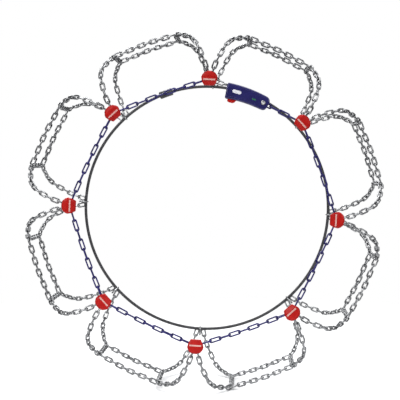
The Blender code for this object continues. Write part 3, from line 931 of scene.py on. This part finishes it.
def housing_corner(radius, angle, size, inward, forward):
    """Points round a corner; inward and forward say where its centre lies."""
    centre_radius = radius + inward * size
    centre_angle = angle + forward * math.degrees(size / centre_radius)
    points = []
    for i in range(CORNER_STEPS + 1):
        turn = math.radians(90 * i / CORNER_STEPS)
        away = centre_radius - inward * size * math.cos(turn)
        along = centre_angle - forward * math.degrees(size * math.sin(turn) / centre_radius)
        points.append(from_polar(away, along))
    return points


def housing_outline(inset=0.0):
    """A band that follows the rim, round at the rivet's end, in order round its edge."""
    right, left = HOUSING_ANGLES
    outer = HOUSING_OUTER - inset
    trim = math.degrees(inset / DRUM_RING_RADIUS)
    right, left = right + trim, left - trim
    sizes = (*END_CORNERS, LEFT_CORNER)
    big, small, sharp = (max(size - inset, LEAST_CORNER) for size in sizes)
    inner_right, inner_left = inner_edge(right) + inset, inner_edge(left) + inset
    outline = housing_corner(outer, right, big, -1, 1)[::-1]
    start, stop = right + math.degrees(big / outer), left - math.degrees(sharp / outer)
    for i in range(1, EDGE_STEPS):
        outline.append(from_polar(outer, start + (stop - start) * i / EDGE_STEPS))
    outline += housing_corner(outer, left, sharp, -1, -1)
    outline += housing_corner(inner_left, left, sharp, 1, -1)[::-1]
    start, stop = left - math.degrees(sharp / outer), right + math.degrees(small / outer)
    for i in range(1, EDGE_STEPS):
        angle = start + (stop - start) * i / EDGE_STEPS
        outline.append(from_polar(inner_edge(angle) + inset, angle))
    return outline + housing_corner(inner_right, right, small, 1, 1)


def flat(outline, z):
    """The outline as points at height z."""
    return [Vector((x, y, z)) for x, y in outline]


def block(low, high):
    """A cutting box between two corners in millimetres."""
    corners = [(low[0], low[1]), (high[0], low[1]), (high[0], high[1]), (low[0], high[1])]
    ends = (low[2], high[2])
    return skin("block", [[Vector((x, y, z)) * MM for x, y in corners] for z in ends])


def round_hole(name, radius, spot, ends):
    """A round cutting tool in millimetres."""
    spot = [value * MM for value in spot]
    return skin(name, [ring_of(radius * MM, HOLE_SIDES, z * MM, spot) for z in ends])


def carved(mesh, tools):
    """The mesh with the tools cut away."""
    target = bpy.data.objects.new("target", mesh)
    bpy.context.scene.collection.objects.link(target)
    holders = []
    for tool in tools:
        holder = bpy.data.objects.new("tool", tool)
        bpy.context.scene.collection.objects.link(holder)
        step = target.modifiers.new("cut", "BOOLEAN")
        step.operation = "DIFFERENCE"
        step.solver = "EXACT"
        step.object = holder
        holders.append(holder)
    ready = target.evaluated_get(bpy.context.evaluated_depsgraph_get())
    made = bpy.data.meshes.new_from_object(ready)
    for holder in [target, *holders]:
        bpy.data.objects.remove(holder)
    return made


# %% Housing
tensioner = station(DRUM_ANGLE, DRUM_RING_RADIUS, HOUSING_BACK_Y)
rivet_x, rivet_y = (value / MM for value in from_polar(RIVET_RING_RADIUS, RIVET_ANGLE))
shell_rings = [flat(housing_outline(inset * MM), z * MM) for inset, z in HOUSING_RINGS]
mouths = [
    block(*STRAND_MOUTH),
    block(*LEVER_MOUTH),
    block(
        (CHAIN_MOUTH_X[0], rivet_y - CHAIN_MOUTH_REACH, CHAIN_MOUTH_Z[0]),
        (CHAIN_MOUTH_X[1], rivet_y, CHAIN_MOUTH_Z[1]),
    ),
    round_hole("rivet_hole", RIVET_HOLE, (rivet_x, rivet_y), (8, 18)),
]
show(
    "housing",
    carved(skin("housing", shell_rings), mouths),
    "tensioner",
    BLUE,
    ["tensioner_housing"],
    tensioner,
    35,
)
print("housing rivet at", round(rivet_x, 1), round(rivet_y, 1))


# %% Blank labels on the housing
PRINT_Z = (PANEL_Z - 0.3, PANEL_Z + 0.2)


def blank_label(start, stop, width):
    """A thin label with round ends between two (radius, angle) points."""
    a, b = (Vector(from_polar(radius * MM, angle)) for radius, angle in (start, stop))
    ahead = (b - a).normalized() * width / 2 * MM
    side = Vector((-ahead.y, ahead.x))
    outline = []
    for centre, turn in ((b, -90), (a, 90)):
        for i in range(7):
            angle = math.radians(turn + 30 * i)
            outline.append(centre + ahead * math.cos(angle) + side * math.sin(angle))
    return skin("label", [[Vector((*point, z * MM)) for point in outline] for z in PRINT_Z])


wide = blank_label((220.5, 75.3), (220.5, 72.7), 6)
small = blank_label((218.3, 66.2), (218.3, 65.0), 2.6)
show("housing_print", wide, "tensioner", WHITE, (), tensioner, 35)
show("housing_spot", small, "tensioner", GREEN, (), tensioner, 35)
print("blank labels: 2")

# %% [markdown]
# ## Rivet, lever and strand
# The rivet is a lathed eyelet with a rolled rim. The lever is a flat moulding with a wavy grip
# on the edge that sticks out of the case. The strand is a few twisted wires that end in a
# crimped sleeve and one bright link, which goes under the top cap.

# %% Rivet
EYELET = [
    (1.5, 0.5),
    (2.3, 0.5),
    (2.3, 16.6),
    (3.7, 16.6),
    (4.1, 16.9),
    (4.0, 17.4),
    (3.4, 17.9),
    (2.6, 17.95),
    (1.9, 17.5),
    (1.5, 16.8),
]


def lathed(name, profile, count, centre=(0, 0)):
    """A closed profile of (radius, height) in millimetres, turned round the z axis."""
    centre = [value * MM for value in centre]
    rings = [ring_of(radius * MM, count, z * MM, centre) for radius, z in profile]
    return skin(name, rings, ring_closed=True)


show(
    "rivet",
    lathed("rivet", EYELET, 24, (rivet_x, rivet_y)),
    "tensioner",
    STEEL,
    ["tensioner_rivet"],
    tensioner,
    50,
)

# %% Lever
LEVER_PIVOT = (-8.2, -9.5)
LEVER_BORE = 1.3
LEVER_RINGS = ((0.5, 5.0), (0, 5.5), (0, 12), (0.5, 12.5))
GRIP_START = (-19.25, 0.6)
GRIP_STEP = 0.65
GRIP_STEPS = 12
GRIP_WAVE = 0.35
LEVER_ROOT = [(-10.4, -11.3), (-10.5, -6), (-13.2, -4.4), (-16.4, -2.9), (-18.4, -0.8)]
LEVER_TIP = [(-18.9, 9.6), (-17.3, 10.7), (-11.2, 10.8)]
LEVER_BACK = [(-10.9, -3.6), (-6.2, -7.6), (-5.9, -11.3)]

grip = []
for i in range(GRIP_STEPS + 1):
    wave = GRIP_WAVE * math.cos(2 * math.pi * i / 3)
    grip.append((GRIP_START[0] + wave, GRIP_START[1] + GRIP_STEP * i))
lever_outline = LEVER_ROOT + grip + LEVER_TIP + LEVER_BACK


def inset_outline(outline, inset):
    """The outline moved inwards by this much, with its points kept in order."""
    count = len(outline)
    area = sum(a[0] * b[1] - b[0] * a[1] for a, b in zip(outline, outline[1:] + outline[:1]))
    side = 1 if area > 0 else -1
    moved = []
    for i, point in enumerate(outline):
        before, after = Vector(outline[i - 1]), Vector(outline[(i + 1) % count])
        ahead = (after - before).normalized()
        moved.append((point[0] - side * ahead.y * inset, point[1] + side * ahead.x * inset))
    return moved


lever_rings = []
for inset, z in LEVER_RINGS:
    outline = inset_outline(lever_outline, inset)
    lever_rings.append([Vector((x, y, z)) * MM for x, y in outline])
pin_hole = round_hole("pin_hole", LEVER_BORE, LEVER_PIVOT, (0, 20))
show(
    "lever",
    carved(skin("lever", lever_rings), [pin_hole]),
    "lever",
    RED,
    ["release_lever"],
    tensioner,
    35,
)

# %% Strand
STRAND_X = 8.3
STRAND_Z = 8.4
STRAND_LEAN = math.radians(2.1)
STRAND_TWIST = math.radians(24)
STRAND_STEP = 0.5
STRAND_SIDES = 24
STRAND_RADIUS = 1.45
STRAND_WIRES = 6
WIRE_BULGE = 0.2
SLEEVE_TIP = 24.4
HOOK_WIRE = 3.1
HOOK_WIDTH = 9.2


def oval_link(wire, length, width, count=12, sides=8):
    """One link in the XY plane, long in x, in millimetres."""
    rings = []
    for i in range(count):
        turn = 2 * math.pi * (i + 0.5) / count
        out = Vector((math.cos(turn), math.sin(turn), 0))
        centre = out * (width - wire) / 2
        centre.x += math.copysign((length - width) / 2, out.x)
        ring = []
        for k in range(sides):
            angle = 2 * math.pi * k / sides
            around = out * math.cos(angle) + Vector((0, 0, math.sin(angle)))
            ring.append((centre + wire / 2 * around) * MM)
        rings.append(ring)
    return skin("oval_link", rings, ring_closed=True)


def twisted_wires(low, high):
    """Six wires round a core, as one lobed section that turns as it goes."""
    rings = []
    steps = int((high - low) / STRAND_STEP)
    for i in range(steps + 1):
        z = low + (high - low) * i / steps
        ring = []
        for k in range(STRAND_SIDES):
            angle = 2 * math.pi * k / STRAND_SIDES
            radius = STRAND_RADIUS + WIRE_BULGE * math.cos(STRAND_WIRES * angle)
            turn = angle + STRAND_TWIST * i
            ring.append(Vector((radius * math.cos(turn), radius * math.sin(turn), z)) * MM)
        rings.append(ring)
    return skin("twisted_wires", rings)


SLEEVE = [(0.4, 19.5), (2.0, 19.5), (2.35, 20), (2.35, 25), (2.0, 25.6), (0.4, 25.6)]
strand_place = tensioner @ Matrix.Translation((STRAND_X * MM, 0, STRAND_Z * MM))
strand_place = strand_place @ Matrix.Rotation(-STRAND_LEAN, 4, "Z")
strand_place = strand_place @ Matrix.Rotation(-math.pi / 2, 4, "X")
to_cap = (strand_place.inverted() @ connector_frame(2) @ Vector((0, -SIDE_HOLE, 0))) / MM
to_hole = to_cap - Vector((0, 0, SLEEVE_TIP))
hook = oval_link(HOOK_WIRE, to_hole.length + HOOK_WIRE, HOOK_WIDTH)
hook.transform(Matrix.Rotation(math.pi / 2, 4, "X"))
hook.transform(Matrix.Rotation(-math.pi / 2, 4, "Y"))
hook.transform(to_hole.to_track_quat("Z", "Y").to_matrix().to_4x4())
hook.transform(Matrix.Translation((to_cap - to_hole / 2) * MM))
strand = joined("strand", [twisted_wires(0.5, 20), lathed("sleeve", SLEEVE, 16), hook])
show("strand", strand, "strand", ZINC, ["tension_strand"], strand_place, 40)
print("cap hole seen from the strand, mm:", tuple(round(v, 1) for v in to_cap))

# %% [markdown]
# ## Inner cable
# Behind the wheel a jacketed steel cable closes the chain. Eight steel rings hold the rear arms
# on it, and a sleeve slides over the joint of its two ends.

# %% Cable
CABLE_RING_RADIUS = 236.4
CABLE_Y = 110.6 * MM
CABLE_RADIUS = 2.75
CABLE_GAP_ANGLE = 3.0
COUPLING_ANGLE = 109.5
CABLE_STEPS = 180
CABLE_SIDES = 12
RING_LIFT = 4.6
RING_SIZE = (3.2, 19, 10.4)
HALF_SLEEVE = [
    (6.6, 0.6),
    (7, 1),
    (7, 3.4),
    (6.6, 3.8),
    (6.6, 4.6),
    (7, 5),
    (7, 11.4),
    (6.8, 12.2),
    (5.9, 13),
    (4.9, 13),
]

cable_sections = []
for i in range(CABLE_STEPS + 1):
    angle = COUPLING_ANGLE + CABLE_GAP_ANGLE / 2 + (360 - CABLE_GAP_ANGLE) * i / CABLE_STEPS
    place = station(angle, CABLE_RING_RADIUS * MM, CABLE_Y)
    turn = [2 * math.pi * k / CABLE_SIDES for k in range(CABLE_SIDES)]
    circle = [Vector((math.cos(a), 0, math.sin(a))) * CABLE_RADIUS * MM for a in turn]
    cable_sections.append([place @ point for point in circle])
cable = skin("cable", cable_sections)
show("cable", cable, "tread_net", JACKET, ["inner_cable"])

eyes = []
for k in range(CORNERS):
    eye = oval_link(*RING_SIZE, 16)
    place = station(corner(k), (CABLE_RING_RADIUS + RING_LIFT) * MM, CABLE_Y)
    eye.transform(place @ Matrix.Rotation(math.pi / 2, 4, "X"))
    eyes.append(eye)
show("cable_rings", joined("cable_rings", eyes), "tread_net", ZINC)
print("cable sections:", len(cable_sections), "rings:", len(eyes))

# %% Sleeve
sleeve_profile = [(radius, -z) for radius, z in HALF_SLEEVE[::-1]] + HALF_SLEEVE
coupling = station(COUPLING_ANGLE, CABLE_RING_RADIUS * MM, CABLE_Y)
coupling = coupling @ Matrix.Rotation(-math.pi / 2, 4, "X")
show(
    "cable_sleeve",
    lathed("cable_sleeve", sleeve_profile, 32),
    "cable_sleeve",
    JACKET,
    ["cable_coupling"],
    coupling,
    30,
)

# %% [markdown]
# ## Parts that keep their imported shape
# The plates, the ratchet and the spring are already right, so they only get a better finish.


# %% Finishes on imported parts
def dressed(node, finish):
    """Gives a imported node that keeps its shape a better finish."""
    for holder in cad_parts[node].material_slots:
        holder.material = finish


kept = {f"connector_plate_{k + 1}": STEEL for k in range(CORNERS)}
kept.update(
    cable_ball_end=STEEL,
    tensioner_back_cover=BLUE,
    tension_drum=STEEL,
    drum_axle=STEEL,
    drum_spring=SPRING,
    ratchet_pawl=STEEL,
)
for node, finish in kept.items():
    dressed(node, finish)
print("packed parts that stay:", len(kept))
